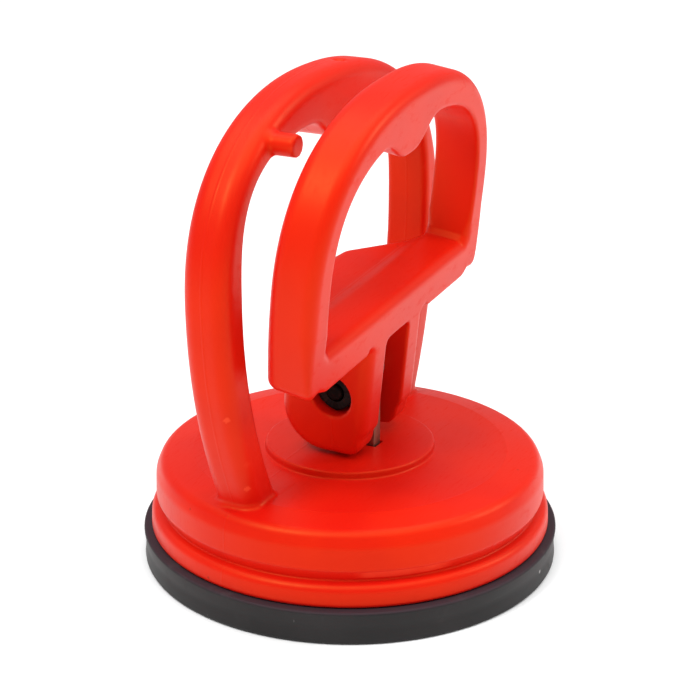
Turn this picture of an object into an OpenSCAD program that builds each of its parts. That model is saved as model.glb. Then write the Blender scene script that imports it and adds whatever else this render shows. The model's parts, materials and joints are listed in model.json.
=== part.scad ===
// Small hand vacuum cup with a cam lever: a round casing with a fixed grip arch, a rubber
// pad under it, and a lever whose two cam ears lift the middle of the pad.
// Frame: +Z up, origin at the middle of the pad's underside, lever pivot along X,
// lever in front (-Y) of the fixed grip. Drawn with the lever locked, pad lifted.

/* [Rubber pad] */
// Outer radius of the pad
pad_r = 28.5; // [28:0.1:29]
// Height of the pad's rim
pad_rim_h = 4.5; // [4.2:0.1:4.8]
// Thickness of the pad's flexible middle
pad_web_t = 2.4; // [2:0.1:2.6]
// How far the pad's middle is lifted while the lever is locked
pad_lift = 2.3; // [2.1:0.1:2.4]

/* [Casing] */
// Radius of the flange that presses on the pad
flange_r = 27.4; // [27:0.1:28]
// Radius of the casing's wall
casing_r = 26.6; // [26.2:0.1:26.8]
// Height of the casing's flat top
casing_top = 15; // [14.6:0.1:15.2]
// Height of the round boss that the cam ears stand on
boss_top = 16; // [15.8:0.1:16.1]
// Radius of that boss
boss_r = 11.5; // [11:0.1:12.5]
// Wall thickness of the casing
wall = 2.2; // [1.8:0.1:2.4]

/* [Fixed grip] */
// Half width of the grip at its widest
grip_half_w = 29.9; // [29:0.1:30.5]
// Height of the grip's widest place
grip_wide_z = 42.8; // [41:0.1:44]
// Height of the grip's top
grip_top = 67.3; // [66:0.1:67.5]
// Front face of the grip
grip_front_y = 0.9; // [0.8:0.1:1.5]
// Depth of the grip, front to back
grip_depth = 6.5; // [6:0.1:7]
// Length of the two stop pegs
peg_len = 3.3; // [3:0.1:3.6]

/* [Lever] */
// Forward lean of the locked lever, in degrees
lean = 8; // [7.8:0.1:8.4]
// How far the play in the tongue's bore lets the lever hang to its left, in degrees
tilt = 5; // [4:0.1:5]
// Half width of the lever's loop
loop_half_w = 25.1; // [24.6:0.1:25.4]
// Height of the loop's top above the pivot
loop_top = 42.3; // [42:0.1:43]
// Depth of the loop, front to back
loop_depth = 6.6; // [6:0.1:7]
// Distance from the pivot to the lever's front face
loop_front = 5.3; // [5.2:0.1:5.4]
// Half of the gap between the ears
ear_in = 3.3; // [3.2:0.1:3.4]
// Half width over both ears
ear_out = 7.8; // [7.6:0.1:8]

/* [Pivot] */
// Front to back place of the pivot
pin_y = -1.2; // [-1.3:0.1:-1.1]
// Height of the pivot
pin_z = 25.8; // [25.7:0.1:26]
// Radius of the pivot bolt's shank
bolt_r = 1.25; // [1.2:0.05:1.3]
// Width across flats of the nut and of the bolt head
hex_af = 4.9; // [4.6:0.1:5]

/* [Hidden] */
$fn = 96;
eps = 0.01;

// How far a cut reaches past the face it opens, and a root into what it grows from
over = 1;

// How finely the grip and the loop are drawn: flank in degrees, crown in millimetres
arc_step = 6;
flank_end = 60;
crown_step = 1;

// Pad: rim, bead that sits inside the flange, lifted middle
pad_bottom_r = 21.5;
pad_mid_r = 10.5;
pad_waist = 0.3;
pad_edge = 0.4;
slope_steps = 8;
bead_gap = 0.3;
bead_r = casing_r - wall - bead_gap;
bead_w = 2;
bead_h = 1.2;
bead_root_r = bead_r - bead_w - 1;
ring_r = [23.2, 25, 26.8];
ring_w = 0.45;
ring_h = 0.35;

// Steel insert under the casing
plate_r = 9;
plate_t = 1.2;
plate_gap = 0.3;
plate_z = pad_lift + pad_web_t + plate_gap;
tongue_t = 1.8;
tongue_w = 6;
foot_w = 10;
foot_h = 2;
tab_w = 2;
tab_y = 3;
slot_gap = 0.3;

// Casing
flange_top = 7.4;
step_z = 8.3;
flange_round = 1;
step_r = 25.7;
shoulder_r = 2.4;
ceiling_t = 2.6;
ceiling_z = casing_top - ceiling_t;
hub_r = 7;
hub_bottom = 9.4;
rib_t = 1.4;
rib_bottom = 10.2;
rib_count = 8;

// Fixed grip
grip_foot_w = 23.2;
grip_power = 2.25;
grip_in_half_w = 25.1;
grip_in_foot_w = 17.6;
grip_in_top = 61.2;
grip_in_power = 3.2;
peg_r = 1.45;
peg_x = 17.6;
peg_z = 61;
hump_h = 3;
hump_w = 4.8;
hump_power = 3;

// Lever
loop_wide = 20;
loop_power = 2.35;
loop_foot_half_w = 24.4;
loop_corner_r = 1.5;
bar_bottom = 8.4;
bar_top = 13.4;
win_half_w = 20.8;
win_wide = 20;
win_foot_half_w = 20.2;
win_top = 37.3;
win_power = 2.8;
win_hump_h = 3.5;
win_hump_x = -2;
gusset_back = 7.9;
gusset_flat = 8.3;
gusset_side = 20;
cam_front_r = 4.6;
cam_back_r = 6;
cam_back_y = 1.8;
cam_gap = 0.3;
cam_depth = (pin_z - boss_top - cam_gap - ear_out * sin(tilt)) / cos(tilt);
pocket_r = 2.95;
pocket_depth = 3.3;
bore_gap = 0.06;
bore_r = bolt_r + bore_gap;
tongue_bore_gap = 0.15;
tongue_bore_r = bolt_r + tongue_bore_gap;
clip = 40;

// Fasteners
washer_r = 2.8;
washer_t = 0.4;
nut_t = 1.6;
head_t = 1.5;
nut_inset = ear_out - pocket_depth;
bolt_tip = 0.3;
bolt_end = nut_inset + washer_t + nut_t + bolt_tip;
spacer_r = 2.4;
spacer_gap = 0.3;

// ---- shared outlines -------------------------------------------------------

// A quarter of a superellipse from its widest place to its top: the flank is stepped by
// angle, and the crown by width, so that the scallops get points enough
function quarter(half_w, h, power, base) = concat(
    [for (a = [0 : arc_step : flank_end])
        [half_w * pow(cos(a), 2 / power), base + h * pow(sin(a), 2 / power)]],
    [for (x = [floor(half_w * pow(cos(flank_end), 2 / power)) : -crown_step : crown_step])
        [x, base + h * pow(1 - pow(x / half_w, power), 1 / power)]]
);

// A leg that draws in towards its foot along a shallow curve
function leg(half_w, foot_w, wide, foot, steps = 8) = [
    for (i = [0 : steps - 1])
        let (f = 1 - i / steps)
            [half_w - (half_w - foot_w) * f * f, wide - (wide - foot) * f]
];

function mirrored(points) = [
    for (i = [len(points) - 1 : -1 : 0]) [-points[i].x, points[i].y]
];

function both_halves(points, top) = concat(points, [[0, top]], mirrored(points));

// A window's outline with the bump between its two finger scallops: h deep, middle at x = at
function with_hump(points, h, at) = [
    for (p = points) [p.x, p.y - h * exp(-pow(abs(p.x - at) / hump_w, hump_power))]
];

// An upright slab with its front face at y = front
module slab(front, depth) {
    translate([0, front + depth, 0])
        rotate([90, 0, 0])
            linear_extrude(depth) children();
}

// A cylinder along X from x = from to x = to
module x_rod(r, from, to) {
    translate([from, 0, 0]) rotate([0, 90, 0]) cylinder(r = r, h = to - from);
}

module x_hex(af, from, to) {
    translate([from, 0, 0])
        rotate([0, 90, 0])
            cylinder(d = af / cos(30), h = to - from, $fn = 6);
}

module at_pivot() {
    translate([0, pin_y, pin_z]) children();
}

// Along the bolt, which lies tilted in the tongue's bore
module on_bolt() {
    at_pivot() rotate([0, -tilt, 0]) children();
}

module in_lever_frame() {
    on_bolt() rotate([lean, 0, 0]) children();
}

// ---- casing ----------------------------------------------------------------

module casing_profile() {
    difference() {
        union() {
            square([flange_r, flange_top - flange_round]);
            square([flange_r - flange_round, flange_top]);
            translate([flange_r - flange_round, flange_top - flange_round]) circle(flange_round);
            square([step_r, step_z]);
            translate([0, step_z])
                square([casing_r, casing_top - shoulder_r - step_z]);
            square([casing_r - shoulder_r, casing_top]);
            translate([casing_r - shoulder_r, casing_top - shoulder_r]) circle(shoulder_r);
            square([boss_r, boss_top]);
        }
        translate([-flange_r, -eps]) square([flange_r, boss_top + over]);
        square([casing_r - wall, ceiling_z]);
        translate([0, -eps]) square([flange_r + over, pad_rim_h + eps]);
    }
}

module grip_outline() {
    difference() {
        polygon(both_halves(
            concat(leg(grip_half_w, grip_foot_w, grip_wide_z, casing_top - over),
                   quarter(grip_half_w, grip_top - grip_wide_z, grip_power, grip_wide_z)),
            grip_top));
        polygon(with_hump(both_halves(
            concat(leg(grip_in_half_w, grip_in_foot_w, grip_wide_z, casing_top - over - eps),
                   quarter(grip_in_half_w, grip_in_top - grip_wide_z,
                           grip_in_power, grip_wide_z)),
            grip_in_top), hump_h, 0));
    }
}

module casing() color("orangered") {
    difference() {
        union() {
            rotate_extrude() casing_profile();
            // Hub that guides the tongue, and the ribs that brace it
            translate([0, 0, hub_bottom])
                cylinder(r = hub_r, h = ceiling_z - hub_bottom + eps);
            for (i = [0 : rib_count - 1])
                rotate([0, 0, (i + 0.5) * 360 / rib_count])
                    translate([0, -rib_t / 2, rib_bottom])
                        cube([casing_r - wall + rib_t / 2, rib_t, ceiling_z - rib_bottom + eps]);
            slab(grip_front_y, grip_depth) grip_outline();
            for (side = [-1, 1])
                translate([side * peg_x, grip_front_y + eps, peg_z])
                    rotate([90, 0, 0]) cylinder(r = peg_r, h = peg_len);
        }
        // Slot that guides the tongue
        translate([-tongue_t / 2 - slot_gap, pin_y - tongue_w / 2 - slot_gap, hub_bottom - over])
            cube([tongue_t + 2 * slot_gap, tongue_w + 2 * slot_gap, boss_top]);
    }
}

// ---- pad and what is bonded to it -----------------------------------------

// Height that the pad's middle has gained at a given radius
function lift_at(r) =
    pad_lift * (1 + cos(180 * (r - pad_mid_r) / (pad_bottom_r - pad_mid_r))) / 2;

module pad_profile() {
    slope = [for (i = [0 : slope_steps])
        pad_mid_r + (pad_bottom_r - pad_mid_r) * i / slope_steps];
    polygon(concat(
        [[0, pad_lift]],
        [for (r = slope) [r, lift_at(r)]],
        [[pad_r - pad_edge, 0], [pad_r, pad_edge], [pad_r - pad_waist, pad_rim_h / 2],
         [pad_r, pad_rim_h - pad_edge], [pad_r - pad_edge, pad_rim_h],
         [bead_r, pad_rim_h], [bead_r, pad_rim_h + bead_h],
         [bead_r - bead_w, pad_rim_h + bead_h], [bead_root_r, pad_web_t]],
        [for (i = [slope_steps : -1 : 0])
            if (slope[i] < bead_root_r) [slope[i], lift_at(slope[i]) + pad_web_t]],
        [[0, pad_lift + pad_web_t]]));
}

module rubber_pad() color("dimgray")
    difference() {
        rotate_extrude() pad_profile();
        // Sealing grooves in the rim's underside
        for (r = ring_r)
            rotate_extrude()
                translate([r - ring_w / 2, -eps]) square([ring_w, ring_h]);
    }

module insert_plate() color("silver")
    translate([0, 0, plate_z])
        difference() {
            cylinder(r = plate_r, h = plate_t);
            for (side = [-1, 1])
                translate([-tongue_t / 2, side * tab_y - tab_w / 2, -eps])
                    cube([tongue_t, tab_w, plate_t + 2 * eps]);
        }

module pull_tongue() color("rosybrown") {
    plate_top = plate_z + plate_t;
    difference() {
        union() {
            translate([-tongue_t / 2, pin_y - tongue_w / 2, plate_top])
                cube([tongue_t, tongue_w, pin_z - plate_top]);
            translate([-tongue_t / 2, -foot_w / 2, plate_top])
                cube([tongue_t, foot_w, foot_h]);
            for (side = [-1, 1])
                translate([-tongue_t / 2, side * tab_y - tab_w / 2, plate_z])
                    cube([tongue_t, tab_w, plate_t + eps]);
            at_pivot() x_rod(tongue_w / 2, -tongue_t / 2, tongue_t / 2);
        }
        at_pivot() x_rod(tongue_bore_r, -tongue_t, tongue_t);
    }
}

// ---- lever -----------------------------------------------------------------

module loop_outline() {
    difference() {
        union() {
            polygon(both_halves(
                concat(leg(loop_half_w, loop_foot_half_w, loop_wide, bar_bottom + loop_corner_r),
                       quarter(loop_half_w, loop_top - loop_wide, loop_power, loop_wide)),
                loop_top));
            for (side = [-1, 1])
                translate([side * (loop_foot_half_w - loop_corner_r), bar_bottom + loop_corner_r])
                    circle(loop_corner_r);
            translate([-loop_foot_half_w + loop_corner_r, bar_bottom])
                square([2 * (loop_foot_half_w - loop_corner_r), loop_corner_r + eps]);
        }
        polygon(with_hump(both_halves(
            concat(leg(win_half_w, win_foot_half_w, win_wide, bar_top),
                   quarter(win_half_w, win_top - win_wide, win_power, win_wide)),
            win_top), win_hump_h, win_hump_x));
    }
}

// Plan of the bar, deep in the middle and as deep as the loop at its ends
module gusset_plan() {
    end_back = loop_depth - loop_front - over;
    polygon([[-gusset_side, -loop_front], [gusset_side, -loop_front], [gusset_side, end_back],
             [gusset_flat, gusset_back], [-gusset_flat, gusset_back], [-gusset_side, end_back]]);
}

// Side view of a cam ear before the lever leans, with the pivot at the origin
module cam_outline() {
    difference() {
        union() {
            translate([0, cam_front_r - cam_depth]) circle(cam_front_r);
            translate([cam_back_y, cam_back_r - cam_depth]) circle(cam_back_r);
            translate([0, -cam_depth]) square([cam_back_y, cam_depth]);
            rotate(lean) translate([-loop_front, -cam_depth + cam_front_r])
                square([loop_front + gusset_back, cam_depth - cam_front_r + bar_bottom + over]);
        }
        // Nothing stands in front of the lever's front face or behind the bar's back
        rotate(lean) translate([-loop_front - clip, -clip / 2]) square(clip);
        rotate(lean) translate([gusset_back, -clip / 2]) square(clip);
    }
}

module ear(side) {
    near = side > 0 ? ear_in : -ear_out;
    translate([near, 0, 0])
        rotate([90, 0, 90]) linear_extrude(ear_out - ear_in) cam_outline();
}

module lever() color("red")
    difference() {
        union() {
            in_lever_frame() {
                slab(-loop_front, loop_depth) loop_outline();
                translate([0, 0, bar_bottom])
                    linear_extrude(bar_top - bar_bottom) gusset_plan();
            }
            on_bolt() for (side = [-1, 1]) ear(side);
        }
        on_bolt() {
            x_rod(bore_r, -ear_out - over, ear_out + over);
            x_rod(pocket_r, -ear_out - over, -nut_inset);
            x_rod(pocket_r, nut_inset, ear_out + over);
        }
    }

// ---- fasteners -------------------------------------------------------------

module pivot_bolt() color("gray")
    on_bolt() {
        x_rod(bolt_r, -bolt_end, nut_inset + washer_t);
        x_hex(hex_af, nut_inset + washer_t, nut_inset + washer_t + head_t);
    }

module pivot_nut() color("dimgray")
    on_bolt()
        difference() {
            x_hex(hex_af, -nut_inset - washer_t - nut_t, -nut_inset - washer_t);
            x_rod(bolt_r, -ear_out, 0);
        }

module washers() color("gray")
    on_bolt()
        for (from = [-nut_inset - washer_t, nut_inset])
            difference() {
                x_rod(washer_r, from, from + washer_t);
                x_rod(bore_r, from - over, from + over);
            }

module tongue_spacers() color("gainsboro")
    on_bolt()
        for (side = [-1, 1])
            difference() {
                x_rod(spacer_r, side > 0 ? tongue_t / 2 + spacer_gap : -ear_in,
                      side > 0 ? ear_in : -tongue_t / 2 - spacer_gap);
                x_rod(bore_r, -ear_out, ear_out);
            }

casing();
rubber_pad();
insert_plate();
pull_tongue();
lever();
pivot_bolt();
pivot_nut();
washers();
tongue_spacers();
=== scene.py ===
import json
import math

import bmesh
import bpy
import numpy as np
from mathutils import Matrix, Vector


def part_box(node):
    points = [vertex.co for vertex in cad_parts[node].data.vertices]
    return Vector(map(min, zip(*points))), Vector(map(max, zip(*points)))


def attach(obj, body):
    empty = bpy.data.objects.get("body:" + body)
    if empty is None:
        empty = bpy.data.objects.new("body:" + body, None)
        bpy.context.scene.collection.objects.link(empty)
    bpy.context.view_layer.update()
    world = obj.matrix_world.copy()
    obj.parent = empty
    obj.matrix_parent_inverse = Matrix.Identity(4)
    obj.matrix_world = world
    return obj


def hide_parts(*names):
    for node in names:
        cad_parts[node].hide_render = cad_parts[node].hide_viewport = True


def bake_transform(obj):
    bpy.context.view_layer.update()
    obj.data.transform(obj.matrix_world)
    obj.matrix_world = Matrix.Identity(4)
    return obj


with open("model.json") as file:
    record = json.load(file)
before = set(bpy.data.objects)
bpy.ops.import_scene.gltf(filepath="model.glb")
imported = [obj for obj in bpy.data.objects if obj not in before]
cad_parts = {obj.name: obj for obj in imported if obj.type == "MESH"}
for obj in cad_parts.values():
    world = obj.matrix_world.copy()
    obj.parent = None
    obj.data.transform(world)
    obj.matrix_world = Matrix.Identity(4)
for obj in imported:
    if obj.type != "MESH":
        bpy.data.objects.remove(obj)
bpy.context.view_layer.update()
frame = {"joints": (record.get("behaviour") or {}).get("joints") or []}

# ---- Casing -----------------------------------------------------------------------------
# The round body, its boss, the fixed grip arch and the two stop pegs are one injection
# moulding in orange red plastic. The grip runs into the body's top with a small fillet.

MM = 0.001


def in_mm(corners):
    return [corner / MM for corner in corners]


def union(a, b, r):
    """Two distance fields joined with a fillet of radius r."""
    return np.maximum(r, np.minimum(a, b)) - np.hypot(np.maximum(r - a, 0), np.maximum(r - b, 0))


def common(a, b, r):
    """What two distance fields share, with the edge between them rounded to radius r."""
    return np.minimum(-r, np.maximum(a, b)) + np.hypot(np.maximum(a + r, 0), np.maximum(b + r, 0))


def outline_field(points, step=0.2, margin=4.0):
    """A function that gives the signed distance from a closed outline, read off a fine table."""
    points = np.array(points, float)
    low = points.min(0) - margin
    count = np.ceil((points.max(0) + margin - low) / step).astype(int) + 2
    xs, ys = (low[k] + step * np.arange(count[k]) for k in (0, 1))
    px, py = np.meshgrid(xs, ys, indexing="ij")
    nearest = np.full(px.shape, 1e9)
    inside = np.zeros(px.shape, bool)
    for (ax, ay), (bx, by) in zip(points, np.roll(points, -1, axis=0)):
        dx, dy = bx - ax, by - ay
        t = np.clip(((px - ax) * dx + (py - ay) * dy) / (dx * dx + dy * dy + 1e-12), 0, 1)
        nearest = np.minimum(nearest, (px - ax - t * dx) ** 2 + (py - ay - t * dy) ** 2)
        crosses = (ay > py) != (by > py)
        inside ^= crosses & (px < ax + (py - ay) * dx / (dy if abs(dy) > 1e-12 else 1e-12))
    table = np.sqrt(nearest) * np.where(inside, -1, 1)

    def at(x, y):
        fx = np.clip((x - low[0]) / step, 0, count[0] - 1.001)
        fy = np.clip((y - low[1]) / step, 0, count[1] - 1.001)
        i, j = fx.astype(int), fy.astype(int)
        fx, fy = fx - i, fy - j
        return ((table[i, j] * (1 - fx) + table[i + 1, j] * fx) * (1 - fy)
                + (table[i, j + 1] * (1 - fx) + table[i + 1, j + 1] * fx) * fy)

    return at


def cell_quads(inside, axis):
    """The four cells round each grid edge along an axis that crosses the surface."""
    first = inside.take(range(inside.shape[axis] - 1), axis)
    second = inside.take(range(1, inside.shape[axis]), axis)
    side, up = [(1, 2), (2, 0), (0, 1)][axis]
    quads = []
    for starts, turns in ((first & ~second, 1), (second & ~first, -1)):
        corner = np.argwhere(starts)
        ring = []
        for a, b in [(-1, -1), (0, -1), (0, 0), (-1, 0)][::turns]:
            cell = corner.copy()
            cell[:, side] += a
            cell[:, up] += b
            ring.append(cell)
        quads.append(np.stack(ring, 1))
    return np.concatenate(quads)


def field_mesh(field, low, high, step, rounds=6):
    """Points and quads on a distance field's surface, evened out and moved exactly onto it."""
    low, high = np.array(low, float), np.array(high, float)
    count = np.ceil((high - low) / step).astype(int) + 1
    axes = [low[k] + step * np.arange(count[k]) for k in range(3)]
    inside = field(*np.meshgrid(*axes, indexing="ij")) < 0
    cells = np.concatenate([cell_quads(inside, axis) for axis in range(3)])
    flat = np.ravel_multi_index(cells.reshape(-1, 3).T, inside.shape)
    used, quads = np.unique(flat, return_inverse=True)
    quads = quads.reshape(-1, 4)
    points = low + step * (np.stack(np.unravel_index(used, inside.shape), 1) + 0.5)
    probe = 0.01

    def onto(points, most):
        here = field(*points.T)
        slope = np.stack([(field(*(points + probe * np.eye(3)[k]).T)
                           - field(*(points - probe * np.eye(3)[k]).T)) / (2 * probe)
                          for k in range(3)], 1)
        size = np.maximum(np.linalg.norm(slope, axis=1), 0.3)
        move = np.clip(here / size, -most, most)
        return points - slope / size[:, None] * move[:, None]

    for _ in range(3):
        points = onto(points, step)
    ends = np.concatenate([quads[:, [k, (k + 1) % 4]] for k in range(4)])
    ends = np.concatenate([ends, ends[:, ::-1]])
    degree = np.bincount(ends[:, 0], minlength=len(points))[:, None]
    for _ in range(rounds):
        around = np.stack([np.bincount(ends[:, 0], points[ends[:, 1], k], len(points))
                           for k in range(3)], 1) / degree
        points = onto(0.5 * points + 0.5 * around, step)
    for _ in range(2):
        points = onto(points, step)
    return points, quads


def new_piece(name, points, faces):
    """A mesh object from points in millimetres."""
    mesh = bpy.data.meshes.new(name)
    mesh.from_pydata((np.array(points, float) * MM).tolist(), [], [list(map(int, f)) for f in faces])
    mesh.update()
    made = bpy.data.objects.new(name, mesh)
    bpy.context.scene.collection.objects.link(made)
    return made


def smooth(piece, angle=180):
    """Smooth shading, with edges sharper than angle left crisp."""
    piece.data.shade_smooth()
    if angle < 180:
        piece.data.set_sharp_from_angle(angle=math.radians(angle))
    return piece


def rounded(corners, steps=6):
    """An outline from (x, y, radius) corners, with each corner turned into an arc."""
    made = []
    for k, (x, y, r) in enumerate(corners):
        here = Vector((x, y))
        back = (Vector(corners[k - 1][:2]) - here).normalized()
        ahead = (Vector(corners[(k + 1) % len(corners)][:2]) - here).normalized()
        if r == 0:
            made.append((x, y))
            continue
        half = back.angle(ahead) / 2
        reach = r / math.tan(half)
        centre = here + (back + ahead).normalized() * (r / math.sin(half))
        start, end = here + back * reach - centre, here + ahead * reach - centre
        for i in range(steps + 1):
            made.append(tuple(centre + start.slerp(end, i / steps) * r))
    return made


def lathe(name, outline, segments=192, start=0.0, sweep=2 * math.pi):
    """A closed outline of (radius, height) turned round Z. Points on the axis become poles."""
    whole = abs(sweep - 2 * math.pi) < 1e-6
    turns = segments if whole else segments + 1
    points, rows = [], []
    for r, z in outline:
        if r < 1e-6:
            rows.append([len(points)] * turns)
            points.append((0, 0, z))
            continue
        rows.append(list(range(len(points), len(points) + turns)))
        for k in range(turns):
            a = start + sweep * k / segments
            points.append((r * math.cos(a), r * math.sin(a), z))
    faces = []
    for k in range(len(rows)):
        low, top = rows[k], rows[(k + 1) % len(rows)]
        for i in range(segments):
            j = (i + 1) % turns
            ring = [low[i], low[j], top[j], top[i]]
            ring = [v for n, v in enumerate(ring) if v != ring[n - 1]]
            if len(ring) > 2:
                faces.append(ring)
    if not whole:
        faces.append([row[0] for row in rows][::-1])
        faces.append([row[-1] for row in rows])
    return new_piece(name, points, faces)


def boolean(piece, other, operation):
    """Joins or cuts with the other object, which is then removed."""
    change = piece.modifiers.new("change", "BOOLEAN")
    change.operation, change.object, change.solver = operation, other, "MANIFOLD"
    mesh = bpy.data.meshes.new_from_object(
        piece.evaluated_get(bpy.context.evaluated_depsgraph_get()))
    piece.modifiers.clear()
    piece.data = mesh
    bpy.data.objects.remove(other)
    return piece


def block(name, low, high, radius, steps=3):
    """A box with rounded edges."""
    mesh = bpy.data.meshes.new(name)
    shape = bmesh.new()
    bmesh.ops.create_cube(shape, size=1)
    low, high = Vector(low), Vector(high)
    for v in shape.verts:
        v.co = Vector([low[k] if v.co[k] < 0 else high[k] for k in range(3)]) * MM
    if radius:
        bmesh.ops.bevel(shape, geom=shape.edges[:], offset=radius * MM, segments=steps,
                        affect="EDGES", profile=0.5)
    shape.to_mesh(mesh)
    shape.free()
    made = bpy.data.objects.new(name, mesh)
    bpy.context.scene.collection.objects.link(made)
    return made


casing_low, casing_high = in_mm(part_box("casing"))
tongue_low, tongue_high = in_mm(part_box("pull_tongue"))
casing_top, boss_top, boss_r = 15.0, 16.0, 11.5
flange_r = casing_high.y
wall_r, wall, step_r = flange_r - 0.8, 2.2, flange_r - 1.7
flange_top, step_z, shoulder_r, ceiling_z = 7.4, 8.3, 3.4, 12.4
crease_r, brow_slope = 21.4, 0.167
hub_r, hub_bottom, rib_t, rib_bottom, rib_count = 7.0, 9.4, 1.4, 10.2, 8

body = lathe("casing_shell", rounded([
    (0, boss_top, 0), (boss_r, boss_top, 0.35), (boss_r + 0.1, casing_top, 0.3),
    (crease_r, casing_top, 0),
    (wall_r - 0.9, casing_top - brow_slope * (wall_r - 0.9 - crease_r), 1.6),
    (wall_r - 0.1, ceiling_z, 2.2), (wall_r, step_z + 1.1, 0.9), (step_r + 0.25, step_z - 0.1, 0.3),
    (step_r, flange_top + 0.3, 0.2), (flange_r - 0.15, flange_top, 1.1),
    (flange_r, casing_low.z, 0.6), (wall_r - wall, casing_low.z, 0.3),
    (wall_r - wall, ceiling_z, 0.8), (hub_r, ceiling_z, 0.5), (hub_r, hub_bottom, 0.3),
    (0, hub_bottom, 0)], steps=7)[::-1])

grip_half_w, grip_top, grip_wide_z = casing_high.x, casing_high.z, 42.8
grip_foot_w, grip_power = 23.2, 2.25
grip_front, grip_back, grip_round = 0.9, 7.4, 2.1
opening_half_w, opening_foot_w, opening_top, opening_power = 25.1, 17.6, 61.2, 3.2
opening_round, hump_h, hump_w = 0.9, 3.0, 4.8
peg_x, peg_z, peg_r, peg_tip = 17.6, 61.0, 1.45, -2.4
gate, gate_r = (3.5, 3.4, 67.9), 1.2


def crown(half_w, top, wide_z, power, hump=0.0, hump_x=0.0, count=160):
    """Points over a superellipse from one flank to the other, with a hump pressed down into it."""
    points = []
    for k in range(count + 1):
        a = math.pi * k / count
        c, s = math.cos(a), math.sin(a)
        x = math.copysign(half_w * abs(c) ** (2 / power), c)
        z = wide_z + (top - wide_z) * s ** (2 / power)
        points.append((x, z - hump * math.exp(-abs((x - hump_x) / hump_w) ** 3) * s))
    return points


def flank(half_w, foot_w, wide_z, foot_z, count=24):
    """Points down the +X leg, which draws in towards its foot."""
    return [(half_w - (half_w - foot_w) * (k / count) ** 2, wide_z + (foot_z - wide_z) * k / count)
            for k in range(1, count + 1)]


def arch(half_w, foot_w, top, wide_z, foot_z, power, hump=0.0):
    """A crown on two legs."""
    leg = flank(half_w, foot_w, wide_z, foot_z)
    return leg[::-1] + crown(half_w, top, wide_z, power, hump) + [(-x, z) for x, z in leg]


grip_outside = outline_field(arch(
    grip_half_w, grip_foot_w, grip_top, grip_wide_z, casing_top - 1, grip_power))
grip_inside = outline_field(arch(
    opening_half_w, opening_foot_w, opening_top, grip_wide_z, casing_top - 1.2, opening_power, hump_h))
foot_fillet, foot_depth, skin_t, skin_sunk, skirt_w, drum_draft = 1.0, 2.2, 1.5, 0.03, 3.0, 0.15


def casing_field(x, y, z):
    slab = np.abs(y - (grip_front + grip_back) / 2) - (grip_back - grip_front) / 2
    grip = common(grip_outside(x, z), slab, grip_round)
    grip = common(grip, -grip_inside(x, z), opening_round)
    # Where the moulding gate was torn off the crown
    scar = gate_r - np.sqrt((x - gate[0]) ** 2 + (y - gate[1]) ** 2 + (z - gate[2]) ** 2)
    grip = common(grip, scar, 0.15)
    peg = common(np.hypot(np.abs(x) - peg_x, z - peg_z) - peg_r,
                 np.maximum(peg_tip - y, y - grip_back + 2), 0.3)
    grip = union(grip, peg, 0.5)
    around = np.hypot(x, y)
    draft = drum_draft * (z - step_z) / (casing_top - step_z)
    drum = common(around - wall_r + draft, z - casing_top, shoulder_r)
    drum = np.maximum(drum, z - casing_top + brow_slope * (around - crease_r))
    # A skirt of the drum's skin goes with the grip, so that it carries the fillet between them
    skin = np.maximum(union(drum, grip, foot_fillet) + skin_sunk, -(drum + skin_t))
    return np.maximum(np.maximum(skin, grip - skirt_w), casing_top - foot_depth - z)


points, quads = field_mesh(casing_field, (-31, -3.5, 12), (31, 11.5, 68), 0.34)
grip = new_piece("grip", points, quads)
casing = boolean(body, grip, "UNION")
slot_gap, slot_front, slot_back = 0.3, -4.5, 2.1
casing = boolean(casing, block(
    "slot", (tongue_low.x - slot_gap, slot_front, 9), (tongue_high.x + slot_gap, slot_back, 18), 0),
    "DIFFERENCE")


class Shade:
    """A socket in a material's tree. Arithmetic on it adds Math nodes."""

    def __init__(self, tree, socket):
        self.tree, self.socket = tree, socket

    def node(self, kind, settings=None, inputs=None, output=0):
        """Any other node, from its type, its settings and the values or links of its sockets."""
        made = self.tree.nodes.new("ShaderNode" + kind)
        for key, value in (settings or {}).items():
            setattr(made, key, value)
        for key, value in (inputs or {}).items():
            if isinstance(value, Shade):
                self.tree.links.new(value.socket, made.inputs[key])
            else:
                made.inputs[key].default_value = value
        return Shade(self.tree, made.outputs[output])

    def math(self, operation, *others):
        return self.node("Math", {"operation": operation}, dict(enumerate([self, *others])))

    def __add__(self, other):
        return self.math("ADD", other)

    def __sub__(self, other):
        return self.math("SUBTRACT", other)

    def __mul__(self, other):
        return self.math("MULTIPLY", other)

    def __rsub__(self, other):
        return (self * -1) + other

    __radd__, __rmul__ = __add__, __mul__

    def between(self, low, high):
        """0 below low, 1 above high, and a smooth step between them."""
        return self.node("MapRange", {"interpolation_type": "SMOOTHSTEP"},
                         {"Value": self, "From Min": low, "From Max": high})

    def noise(self, scale, detail=3.0, roughness=0.5):
        return self.node("TexNoise", {}, {"Vector": self, "Scale": scale, "Detail": detail,
                                          "Roughness": roughness})

    def tint(self, colour, other):
        """A colour that turns into the other one as this value goes from 0 to 1."""
        return self.node("Mix", {"data_type": "RGBA"}, {0: self, 6: colour, 7: other}, output=2)


def new_material(name, **constants):
    """A material whose principled shader has those constants, and a wrapped start for its tree."""
    made = bpy.data.materials.new(name)
    made.use_nodes = True
    shader = made.node_tree.nodes["Principled BSDF"]
    for key, value in constants.items():
        shader.inputs[key.replace("_", " ")].default_value = value
    made["shader"] = shader.name
    start = Shade(made.node_tree, shader.outputs[0])
    return made, start.node("TexCoord", output=3)


def connect(material, **links):
    """Wires values into the principled shader."""
    shader = material.node_tree.nodes[material["shader"]]
    for key, value in links.items():
        material.node_tree.links.new(value.socket, shader.inputs[key.replace("_", " ")])


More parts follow.
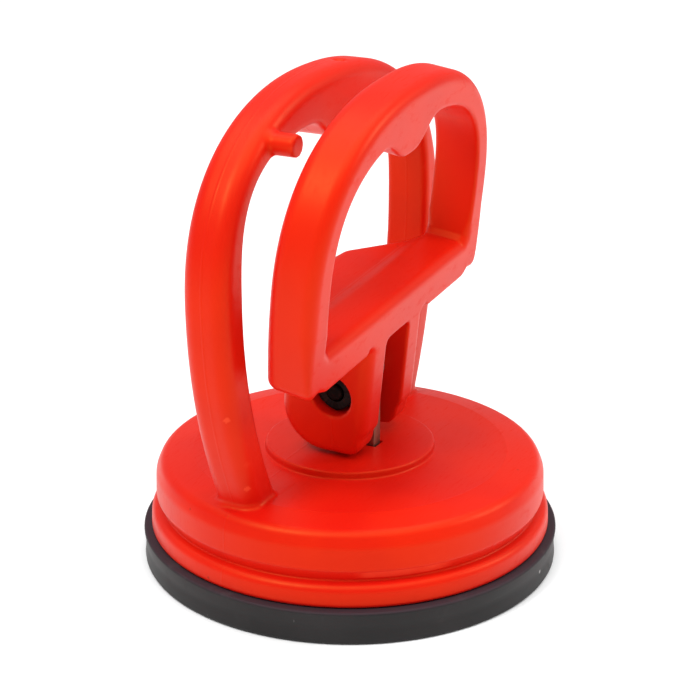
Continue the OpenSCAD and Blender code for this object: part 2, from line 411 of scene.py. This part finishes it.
def moulded_plastic(name, seam_y):
    """Satin orange red plastic, with a faint mould texture, scuffs and a parting line."""
    material, place = new_material(name, IOR=1.47, Specular_IOR_Level=0.42,
                                   Specular_Tint=(1, 0.55, 0.12, 1))
    cloud = place.noise(55.0, 2.0)
    grain = place.noise(900.0, 3.0, 0.6)
    swirl = place.noise(160.0, 2.0)
    worn = place.node("NewGeometry", output=7).between(0.53, 0.62)
    red, deep, pale = (0.71, 0.010, 0.0025, 1), (0.65, 0.006, 0.003, 1), (0.86, 0.07, 0.03, 1)
    colour = cloud.between(0.35, 0.65).tint(deep, red)
    colour = (worn * swirl.between(0.4, 0.7) * 0.55).tint(colour, pale)
    speck = place.node("TexVoronoi", {}, {"Vector": place, "Scale": 210.0}).between(0.06, 0.03)
    rare = place.noise(90.0, 1.0).between(0.55, 0.58)
    colour = (speck * rare * 0.7).tint(colour, (0.30, 0.008, 0.004, 1))
    scuff = place.node("Mapping", {}, {"Vector": place, "Scale": (1.0, 7.0, 1.6),
                                       "Rotation": (0.3, 0.9, 0.4)}).noise(420.0, 4.0, 0.7)
    roughness = 0.33 + cloud * 0.10 + scuff.between(0.52, 0.72) * 0.12 + grain * 0.04
    across = place.node("SeparateXYZ", {}, {0: place}, output=1)
    seam = ((across - seam_y).math("ABSOLUTE")).between(0.00022, 0.00005)
    height = grain * 0.010 + scuff * 0.012 + swirl * 0.05 + seam * 0.05
    bump = place.node("Bump", {}, {"Strength": 0.35, "Distance": 0.001, "Height": height})
    connect(material, Base_Color=colour, Roughness=roughness, Normal=bump)
    return material


def finish_piece(piece, material, body, slot, *nodes):
    """Gives a piece its material, the body it rides on and the CAD nodes it stands for. The slot
    argument is not used.
    """
    piece.data.materials.clear()
    piece.data.materials.append(material)
    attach(piece, body)
    if nodes:
        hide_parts(*nodes)
    return piece


def node_group(name, **inputs):
    """An empty geometry node tree with named inputs of a given kind and value."""
    tree = bpy.data.node_groups.new(name, "GeometryNodeTree")
    tree.interface.new_socket("Geometry", in_out="OUTPUT", socket_type="NodeSocketGeometry")
    for key, (kind, value) in inputs.items():
        socket = tree.interface.new_socket(key, in_out="INPUT", socket_type="NodeSocket" + kind)
        if kind != "Material":
            socket.default_value = value
    return tree, tree.nodes.new("NodeGroupInput"), tree.nodes.new("NodeGroupOutput")


def plant(tree, kind, settings=None, **inputs):
    """A geometry node with its settings, and with its inputs set or linked. A_B names input A B."""
    made = tree.nodes.new(kind)
    for key, value in (settings or {}).items():
        setattr(made, key, value)
    for key, value in inputs.items():
        socket = made.inputs[int(key[1:]) if key[1:].isdigit() else key.replace("_", " ")]
        if isinstance(value, bpy.types.NodeSocket):
            tree.links.new(value, socket)
        else:
            socket.default_value = value
    return made.outputs[0]


def grown(name, tree, **values):
    """A plain mesh object from a geometry node tree run with those input values."""
    holder = new_piece(name, [], [])
    change = holder.modifiers.new("grow", "NODES")
    change.node_group = tree
    for item in tree.interface.items_tree:
        if item.in_out == "INPUT" and item.name in values:
            change[item.identifier] = values[item.name]
    mesh = bpy.data.meshes.new_from_object(
        holder.evaluated_get(bpy.context.evaluated_depsgraph_get()))
    holder.modifiers.clear()
    holder.data = mesh
    return holder


casing_plastic = moulded_plastic("casing_plastic", (grip_front + grip_back) / 2 * MM)
tree, given, made = node_group(
    "ribs", Count=("Int", 8), Length=("Float", 0.01), Thickness=("Float", 0.001),
    Height=("Float", 0.001), Reach=("Float", 0.01), Level=("Float", 0.0),
    Material=("Material", None))
rib = plant(tree, "GeometryNodeMeshCube", Size=plant(
    tree, "ShaderNodeCombineXYZ", X=given.outputs["Length"], Y=given.outputs["Thickness"],
    Z=given.outputs["Height"]))
rib = plant(tree, "GeometryNodeTransform", Geometry=rib, Translation=plant(
    tree, "ShaderNodeCombineXYZ", X=given.outputs["Reach"], Z=given.outputs["Level"]))
spots = plant(tree, "GeometryNodeMeshLine", Count=given.outputs["Count"],
              Offset=(0.0, 0.0, 0.0))
index = plant(tree, "GeometryNodeInputIndex")
turn = plant(tree, "ShaderNodeMath", {"operation": "ADD"}, _0=index, _1=0.5)
turn = plant(tree, "ShaderNodeMath", {"operation": "MULTIPLY"}, _0=turn, _1=2 * math.pi)
turn = plant(tree, "ShaderNodeMath", {"operation": "DIVIDE"}, _0=turn, _1=given.outputs["Count"])
ribs = plant(tree, "GeometryNodeInstanceOnPoints", Points=spots, Instance=rib,
             Rotation=plant(tree, "ShaderNodeCombineXYZ", Z=turn))
ribs = plant(tree, "GeometryNodeRealizeInstances", Geometry=ribs)
tree.links.new(plant(tree, "GeometryNodeSetMaterial", Geometry=ribs,
                     Material=given.outputs["Material"]), made.inputs[0])
rib_in, rib_out, rib_high = hub_r - 1, wall_r - wall + 0.8, ceiling_z + 0.8
ribs = grown("ribs", tree, Count=rib_count, Length=(rib_out - rib_in) * MM, Thickness=rib_t * MM,
             Height=(rib_high - rib_bottom) * MM, Reach=(rib_out + rib_in) / 2 * MM,
             Level=(rib_high + rib_bottom) / 2 * MM, Material=casing_plastic)
casing = boolean(casing, ribs, "UNION")
smooth(casing, 55)
on_crease = [abs(math.hypot(v.co.x, v.co.y) - crease_r * MM) < 0.02 * MM
             and abs(v.co.z - casing_top * MM) < 0.02 * MM for v in casing.data.vertices]
for edge in casing.data.edges:
    edge.use_edge_sharp = edge.use_edge_sharp or all(on_crease[v] for v in edge.vertices)
finish_piece(casing, casing_plastic, "base", "casing_plastic", "casing")

# ---- Lever ------------------------------------------------------------------------------
# The finger loop, the deep bar across it and the two cam ears are one moulding in the same
# plastic. It is drawn square to its own front face, leant forward on the pivot, and hangs a
# little to its left because the bolt has play in the thin tongue.

hinge = next(j for j in frame["joints"] if j["name"] == "lever_swing")
pivot = Vector(hinge["pos_m"]) / MM
bolt_axis = Vector(hinge["axis"])
tilt = math.atan2(bolt_axis.z, bolt_axis.x)
lean = math.radians(8)
loop_front, loop_back, loop_half_w, loop_top = -5.3, 1.3, 25.1, 42.3
loop_foot_half_w, loop_wide, loop_corner_r, loop_power = 24.4, 20.0, 1.5, 2.35
window_half_w, window_foot_w, window_flat_w, window_top, window_power = 20.8, 20.2, 19.4, 37.3, 2.8
window_hump_h, window_hump_x = 3.5, -2.0
bar_bottom, bar_top = 8.4, 13.4
gusset_front, gusset_back, gusset_side, gusset_flat = -12, 7.9, 20, 8.3
front_round, back_round, ear_round = 1.7, 1.9, 1.6
ear_in, ear_out, pocket_r, pocket_floor = 3.3, 7.8, 2.95, 4.5
front_cam_r, front_cam_y, back_cam_r, back_cam_y, cam_gap = 2.8, -1.6, 6.0, 1.8, 0.3
cam_depth = (pivot.z - boss_top - cam_gap - ear_out * math.sin(tilt)) / math.cos(tilt)


def loop_points(steps=10):
    """The loop's outline: its two lower corners, and the flanks and the crown above them."""
    side = flank(loop_half_w, loop_foot_half_w, loop_wide, bar_bottom + loop_corner_r, 12)
    foot = rounded([(-loop_foot_half_w, bar_bottom, loop_corner_r),
                    (loop_foot_half_w, bar_bottom, loop_corner_r),
                    (loop_foot_half_w, loop_top, 0), (-loop_foot_half_w, loop_top, 0)], steps)
    foot = foot[:2 * (steps + 1)]
    return (foot + side[-2::-1] + crown(loop_half_w, loop_top, loop_wide, loop_power)
            + [(-x, z) for x, z in side[:-1]])


def window_points():
    side = flank(window_half_w, window_foot_w, loop_wide, bar_top + 0.8, 12)
    over = crown(window_half_w, window_top, loop_wide, window_power, window_hump_h, window_hump_x)
    return side[::-1] + over + [(-x, z) for x, z in side] + [
        (-window_flat_w, bar_top), (window_flat_w, bar_top)]


def ear_points():
    """Side view of an ear: front face, cam, heel and back, leant back into the lever's frame."""
    def arc(cy, cz, r, start, end, count=16):
        angles = (math.radians(start + (end - start) * k / count) for k in range(count + 1))
        return [(cy + r * math.cos(a), cz + r * math.sin(a)) for a in angles]

    upright = (arc(front_cam_y, front_cam_r - cam_depth, front_cam_r, 180 + math.degrees(lean), 270)
               + arc(back_cam_y, back_cam_r - cam_depth, back_cam_r, 270, 360))
    c, s = math.cos(lean), math.sin(lean)
    leant = [(y * c + z * s, -y * s + z * c) for y, z in upright]
    return leant + [(gusset_back, bar_bottom), (gusset_back, bar_top - 1), (loop_front - 4, bar_top - 1),
                    (loop_front - 4, leant[0][1])]


loop_outside = outline_field(loop_points())
loop_window = outline_field(window_points())
ear_side = outline_field(ear_points())
gusset_plan = outline_field(rounded([
    (-gusset_side, gusset_front, 0), (gusset_side, gusset_front, 0), (gusset_side, loop_back - 1, 1),
    (gusset_flat, gusset_back, 3), (-gusset_flat, gusset_back, 3), (-gusset_side, loop_back - 1, 1)],
    steps=8))


def fade(distance, length):
    """0 before a line, 1 from that length past it, and a slope between."""
    return np.clip(distance / length, 0, 1)


def lever_field(u, t, v):
    wide = np.abs(u)
    loop = common(loop_outside(u, v), t - loop_back, back_round)
    bar = common(common(gusset_plan(u, t), v - bar_top, 1.0), bar_bottom - v, 0.5)
    ear = common(ear_side(t, v), wide - ear_out, ear_round)
    solid = union(union(loop, np.maximum(bar, loop_outside(u, v)), 1.0), ear, 0.7)
    # The front edge is crisper along the bar's underside and round the loop's feet
    under_bar = fade(wide - 8.2, 0.8) * fade(22.5 - wide, 2) * fade(13.2 - v, 1.5)
    foot = fade(wide - 20, 3) * fade(18 - v, 7)
    solid = common(solid, loop_front - t, front_round - np.maximum(1.25 * under_bar, 0.9 * foot))
    brink = 0.45 + 1.0 * fade(bar_top + 3 - v, 3)
    solid = common(solid, -loop_window(u, v), brink)
    gap = common(wide - ear_in, v - (bar_bottom - 0.2), 1.0)
    solid = common(solid, -gap, 0.3)
    pocket = np.maximum(np.hypot(t, v) - pocket_r, pocket_floor - wide)
    return common(solid, -pocket, 0.3)


points, quads = field_mesh(lever_field, (-26, -6.5, -10), (26, 9.5, 46), 0.31)
lever = new_piece("lever_body", points, quads)
on_bolt = Matrix.Translation(pivot * MM) @ Matrix.Rotation(-tilt, 4, "Y")
lever.data.transform(on_bolt @ Matrix.Rotation(lean, 4, "X"))
smooth(lever)
lever_plastic = moulded_plastic("lever_plastic", pivot.y * MM)
finish_piece(lever, lever_plastic, "lever", "lever_plastic", "lever")

# ---- Rubber pad -------------------------------------------------------------------------
# A moulded rubber disc: a thick sealing rim under the casing's flange, a bead inside the
# flange, and a thin web whose bonded middle is pulled up by the plunger.

pad_high = in_mm(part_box("rubber_pad"))[1]
pad_r, rim_h = pad_high.x, 4.5
web_t, pad_lift, mid_r, flat_r = 2.4, 2.3, 10.5, 21.5
bead_in, bead_out, bead_top = 22.1, 24.1, pad_high.z
web_in, web_out = 10.8, 20.4
groove_w, groove_h, grooves = 0.45, 0.35, (23.2, 25.0, 26.8)


def underside(r):
    share = min(max((r - mid_r) / (flat_r - mid_r), 0), 1)
    return pad_lift * (1 + math.cos(math.pi * share)) / 2


def web_outline(inner, outer, steps=20):
    radii = [inner + (outer - inner) * k / steps for k in range(steps + 1)]
    return ([(r, underside(r)) for r in radii]
            + [(r, underside(r) + web_t) for r in reversed(radii)])


lips = [(r + side * groove_w / 2, z, 0.1) for r in grooves
        for side, z in ((-1, 0), (-0.8, groove_h), (0.8, groove_h), (1, 0))]
rim_shape = rounded([
    (web_out, underside(web_out), 0), (flat_r, 0, 0.4), *lips, (pad_r - 0.05, 0, 0.45),
    (pad_r - 0.3, rim_h / 2, 4), (pad_r, rim_h, 0.35), (bead_out, rim_h, 0.1),
    (bead_out, bead_top, 0.4), (bead_in, bead_top, 0.4), (bead_in - 1, web_t, 0.4),
    (web_out, underside(web_out) + web_t, 0)], steps=4)
pad_rim = smooth(lathe("pad_rim", rim_shape), 50)

pad_rubber, place = new_material("pad_rubber", IOR=1.45, Specular_IOR_Level=0.35)
cloud = place.noise(70.0, 3.0)
grain = place.noise(1300.0, 3.0, 0.65)
height_z = place.node("SeparateXYZ", {}, {0: place}, output=2)
on_top = height_z.between((rim_h - 0.35) * MM, (rim_h - 0.05) * MM)
dust = (place.noise(330.0, 2.0, 0.6).between(0.56, 0.75)) * cloud.between(0.4, 0.7)
fleck = place.node("TexVoronoi", {}, {"Vector": place, "Scale": 260.0}).between(0.10, 0.05)
fleck = fleck * place.noise(120.0, 1.0).between(0.54, 0.56)
colour = cloud.between(0.35, 0.65).tint((0.007, 0.006, 0.006, 1), (0.013, 0.011, 0.011, 1))
# The rim's top face is tinted purplish red: a painted reflection of the red casing beside it.
colour = on_top.tint(colour, (0.030, 0.014, 0.020, 1))
colour = (dust * 0.25).tint(colour, (0.11, 0.10, 0.10, 1))
colour = (fleck * 0.8).tint(colour, (0.45, 0.43, 0.42, 1))
streak = place.node("Mapping", {}, {"Vector": place, "Scale": (1, 1, 14)}).noise(190.0, 3.0, 0.6)
bump = place.node("Bump", {}, {"Strength": 0.4, "Distance": 0.001,
                              "Height": grain * 0.012 + streak * 0.02 + dust * 0.02})
connect(pad_rubber, Base_Color=colour, Normal=bump,
        Roughness=0.42 + cloud * 0.12 + dust * 0.25 + on_top * 0.2)
finish_piece(pad_rim, pad_rubber, "base", "pad_rubber", "rubber_pad")

pad_middle = smooth(lathe("pad_middle", [(0, pad_lift), *web_outline(0.5, web_in, 4),
                                         (0, pad_lift + web_t)]), 50)
finish_piece(pad_middle, pad_rubber, "plunger", "pad_rubber")
sectors = 12
sweep = 2 * math.pi / sectors
for k in range(sectors):
    web = smooth(lathe(f"pad_web_{k:02d}", web_outline(web_in, web_out), 16, k * sweep, sweep), 50)
    web.data.materials.append(pad_rubber)
    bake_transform(web)

# ---- Insert plate and pull tongue -------------------------------------------------------
# A pressed steel disc is bonded to the pad's middle, and a flat steel tongue is staked
# into it by two tabs. The tongue comes up through the casing's slot to the pivot bolt.


def flat_part(name, outline, low_x, high_x, edge=0.15):
    """A plate of an outline in Y and Z, from x = low_x to x = high_x, with softened edges."""
    shape = bmesh.new()
    corners = [shape.verts.new((low_x * MM, y * MM, z * MM)) for y, z in outline]
    face = shape.faces.new(corners)
    moved = bmesh.ops.extrude_face_region(shape, geom=[face])["geom"]
    bmesh.ops.translate(shape, vec=((high_x - low_x) * MM, 0, 0),
                        verts=[v for v in moved if isinstance(v, bmesh.types.BMVert)])
    bmesh.ops.recalc_face_normals(shape, faces=shape.faces[:])
    brinks = [e for e in shape.edges if abs(e.verts[0].co.x - e.verts[1].co.x) < 1e-7]
    bmesh.ops.bevel(shape, geom=brinks, offset=edge * MM, segments=2, affect="EDGES", profile=0.5)
    mesh = bpy.data.meshes.new(name)
    shape.to_mesh(mesh)
    shape.free()
    made = bpy.data.objects.new(name, mesh)
    bpy.context.scene.collection.objects.link(made)
    return made


def rod(name, outline, place, segments=48):
    """A lathed part whose axis lies along X before it is put in place: outline in (radius, x)."""
    made = lathe(name, outline, segments)
    made.data.transform(place @ Matrix.Rotation(math.pi / 2, 4, "Y"))
    return made


plate_low, plate_high = in_mm(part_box("insert_plate"))
plate_r, plate_edge = plate_high.x, 0.25
dimple_out, dimple_in, dimple_h = 4.6, 4.2, 0.2
tongue_t = tongue_high.x
tab_y, tab_w, foot_half, foot_top, foot_cut, tip_r, tongue_bore_r = 3.0, 2.0, 5.0, 8.2, 0.4, 3.0, 1.4
strip_back, strip_front = pivot.y + tip_r, pivot.y - tip_r
insert_plate = lathe("insert_disc", rounded([
    (0, plate_low.z, 0), (plate_r, plate_low.z, plate_edge), (plate_r, plate_high.z, plate_edge),
    (dimple_out, plate_high.z, 0.2), (dimple_in, plate_high.z - dimple_h, 0.2),
    (0, plate_high.z - dimple_h, 0)], steps=4), 96)
for side in (-1, 1):
    insert_plate = boolean(insert_plate, block(
        "cut", (-tongue_t, side * tab_y - tab_w / 2, plate_low.z - 1),
        (tongue_t, side * tab_y + tab_w / 2, plate_high.z + 1), 0), "DIFFERENCE")
smooth(insert_plate, 40)

tip = [(pivot.y + tip_r * math.cos(math.radians(a)), pivot.z + tip_r * math.sin(math.radians(a)))
       for a in range(0, 181, 9)]
pull_tongue = flat_part("tongue_strip", [
    (strip_front, foot_top), (-foot_half + foot_cut, foot_top), (-foot_half, foot_top - foot_cut),
    (-foot_half, plate_high.z), (-tab_y - tab_w / 2, plate_high.z), (-tab_y - tab_w / 2, plate_low.z),
    (-tab_y + tab_w / 2, plate_low.z), (-tab_y + tab_w / 2, plate_high.z),
    (tab_y - tab_w / 2, plate_high.z), (tab_y - tab_w / 2, plate_low.z),
    (tab_y + tab_w / 2, plate_low.z), (tab_y + tab_w / 2, plate_high.z),
    (foot_half, plate_high.z), (foot_half, foot_top - foot_cut), (foot_half - foot_cut, foot_top),
    (strip_back, foot_top), *tip], -tongue_t, tongue_t, 0.12)
pull_tongue = boolean(pull_tongue, rod("cut", [
    (0, -3), (tongue_bore_r, -3), (tongue_bore_r, 3), (0, 3)],
    Matrix.Translation(pivot * MM)), "DIFFERENCE")
smooth(pull_tongue, 40)


def steel(name, pale, dark, rust, brushed, roughness, edge=0.5):
    """Bare or near-black steel with a drawn grain, stains and worn edges."""
    made, place = new_material(name, Metallic=1.0)
    cloud = place.noise(260.0, 3.0, 0.6)
    grain = place.node("Mapping", {}, {"Vector": place, "Scale": brushed}).noise(700.0, 4.0, 0.6)
    worn = place.node("NewGeometry", output=7).between(0.52, 0.60)
    colour = cloud.between(0.35, 0.7).tint(pale, dark)
    colour = (place.noise(420.0, 4.0, 0.7).between(0.55, 0.72) * 0.6).tint(colour, rust)
    colour = (worn * edge).tint(colour, (0.62, 0.60, 0.57, 1))
    bump = place.node("Bump", {}, {"Strength": 0.5, "Distance": 0.001,
                                  "Height": grain * 0.02 + cloud * 0.01})
    connect(made, Base_Color=colour, Normal=bump, Roughness=roughness + cloud * 0.15 + grain * 0.12)
    return made


plate_steel = steel("plate_steel", (0.56, 0.55, 0.53, 1), (0.42, 0.41, 0.40, 1),
                    (0.30, 0.22, 0.16, 1), (1, 8, 1), 0.22)
tongue_steel = steel("tongue_steel", (0.36, 0.22, 0.16, 1), (0.24, 0.14, 0.10, 1),
                     (0.25, 0.13, 0.08, 1), (1, 1, 0.12), 0.28)
finish_piece(insert_plate, plate_steel, "plunger", "plate_steel", "insert_plate")
finish_piece(pull_tongue, tongue_steel, "plunger", "tongue_steel", "pull_tongue")

# ---- Pivot bolt, nut, washers and spacers -----------------------------------------------
# A steel bolt runs through both ears and the tongue. Its head and its nut sit on
# washers at the bottom of the ears' pockets, and two turned spacers centre the tongue.
# Bolt, nut and washers are near black: dark steel, darkened further as painted shade of the deep
# pockets.

shank_r, bore_r, flats, washer_r, washer_t, spacer_r = 1.25, 1.31, 4.9, 2.8, 0.4, 2.4
head_base = pocket_floor + washer_t
head_t, nut_t, thread_drop, spacer_in = 1.5, 1.6, 0.12, 1.2
head_top, nut_end = head_base + head_t, -head_base - nut_t
tip_end = nut_end - 0.3


def hexagon(name, low_x, high_x, chamfered):
    """A hexagon along X whose corners are turned off at one end or at both."""
    corner = flats / math.sqrt(3)
    prism = rod(name, [(0, low_x), (corner, low_x), (corner, high_x), (0, high_x)], on_bolt, 6)
    reach, turned, drop = corner + 0.2, flats / 2 - 0.05, 0.42
    low_end = [(turned, low_x), (reach, low_x + drop)] if "low" in chamfered else [(reach, low_x)]
    high_end = [(reach, high_x - drop), (turned, high_x)] if "high" in chamfered else [(reach, high_x)]
    cone = rod("cone", [(0, low_x), *low_end, *high_end, (0, high_x)], on_bolt, 72)
    return boolean(prism, cone, "INTERSECT")


pivot_bolt = hexagon("bolt", head_base, head_top, ("high",))
shank = rod("shank", rounded([
    (0, tip_end, 0), (shank_r - 0.3, tip_end, 0.05), (shank_r - thread_drop, tip_end + 0.25, 0.05),
    (shank_r - thread_drop, -3.6, 0), (shank_r, -3.4, 0), (shank_r, head_base + 0.1, 0),
    (0, head_base + 0.1, 0)], steps=2), on_bolt)
pivot_bolt = boolean(pivot_bolt, shank, "UNION")
smooth(pivot_bolt, 30)

pivot_nut = hexagon("nut", nut_end, -head_base, ("low", "high"))
pivot_nut = boolean(pivot_nut, rod("cut", [
    (0, nut_end - 1), (shank_r + 0.45, nut_end - 1), (shank_r + 0.02, nut_end + 0.3),
    (shank_r + 0.02, -head_base + 1), (0, -head_base + 1)], on_bolt), "DIFFERENCE")
smooth(pivot_nut, 30)


def turned_ring(name, inner, outer, low_x, high_x, edge):
    return smooth(rod(name, rounded([
        (inner, low_x, edge), (outer, low_x, edge), (outer, high_x, edge), (inner, high_x, edge)],
        steps=3), on_bolt, 64), 40)


# Near black: dark steel, darkened further as painted shade of the deep pockets that hold the head, nut
# and washers.
bolt_steel = steel("bolt_steel", (0.016, 0.014, 0.013, 1), (0.008, 0.007, 0.007, 1),
                   (0.07, 0.025, 0.015, 1), (1, 1, 1), 0.50, 0.02)
spacer_steel = steel("spacer_steel", (0.50, 0.49, 0.47, 1), (0.36, 0.35, 0.34, 1),
                     (0.24, 0.20, 0.17, 1), (6, 1, 1), 0.24)
finish_piece(pivot_bolt, bolt_steel, "lever", "bolt_steel", "pivot_bolt")
finish_piece(pivot_nut, bolt_steel, "lever", "bolt_steel", "pivot_nut")
washers = [turned_ring(f"washer_{side}", bore_r, washer_r, low, low + washer_t, 0.08)
           for side, low in (("left", -head_base), ("right", pocket_floor))]
finish_piece(washers[0], bolt_steel, "lever", "bolt_steel", "washers")
finish_piece(washers[1], bolt_steel, "lever", "bolt_steel")
spacers = [turned_ring(f"spacer_{side}", bore_r, spacer_r, low, high, 0.15)
           for side, low, high in (("left", -ear_in, -spacer_in), ("right", spacer_in, ear_in))]
finish_piece(spacers[0], spacer_steel, "lever", "spacer_steel", "tongue_spacers")
finish_piece(spacers[1], spacer_steel, "lever", "spacer_steel")

# ---- Floor, light and camera ------------------------------------------------------------
# A plain pale floor, large soft lamps at both sides and overhead, and the camera.

floor = block("floor", (-1500, -1500, -20), (1500, 1500, 0), 0)
floor_paint, _ = new_material("floor_paint", Base_Color=(0.95, 0.95, 0.95, 1), Roughness=0.9)
floor.data.materials.append(floor_paint)

world = bpy.data.worlds.new("studio")
world.use_nodes = True
world.node_tree.nodes["Background"].inputs["Color"].default_value = (1, 1, 1, 1)
world.node_tree.nodes["Background"].inputs["Strength"].default_value = 0.4
bpy.context.scene.world = world
bpy.context.scene.view_settings.view_transform = "Standard"

middle = Vector((0, 0, 33 * MM))


def towards(azimuth, elevation):
    """A direction, with azimuth 0 in front of the part and 90 at its right, in degrees."""
    a, e = math.radians(azimuth), math.radians(elevation)
    return Vector((math.sin(a) * math.cos(e), -math.cos(a) * math.cos(e), math.sin(e)))


def lamp(name, azimuth, elevation, distance, size, power):
    """A square lamp that points at the part's middle."""
    back = towards(azimuth, elevation)
    light = bpy.data.lights.new(name, "AREA")
    light.shape, light.size, light.energy = "SQUARE", size, power
    made = bpy.data.objects.new(name, light)
    made.location = middle + back * distance
    made.rotation_euler = back.to_track_quat("Z", "Y").to_euler()
    bpy.context.scene.collection.objects.link(made)


lamp("left_softbox", -112, 50, 0.45, 0.12, 0.7)
lamp("right_softbox", 30, 30, 0.50, 0.14, 0.7)
lamp("top_softbox", -62, 85, 2.0, 2.6, 50.0)

view_azimuth, view_elevation, view_distance, view_pitch = -62.0, 26.75, 0.250, 20.55
focal_length_per_width = 2.536143
camera = bpy.data.objects.new("camera", bpy.data.cameras.new("camera"))
camera.data.lens = camera.data.sensor_width * focal_length_per_width
camera.data.clip_start = 0.01
camera.location = view_distance * towards(view_azimuth, view_elevation)
camera.rotation_euler = (math.radians(90 - view_pitch), 0, math.radians(view_azimuth))
bpy.context.scene.collection.objects.link(camera)
bpy.context.scene.camera = camera
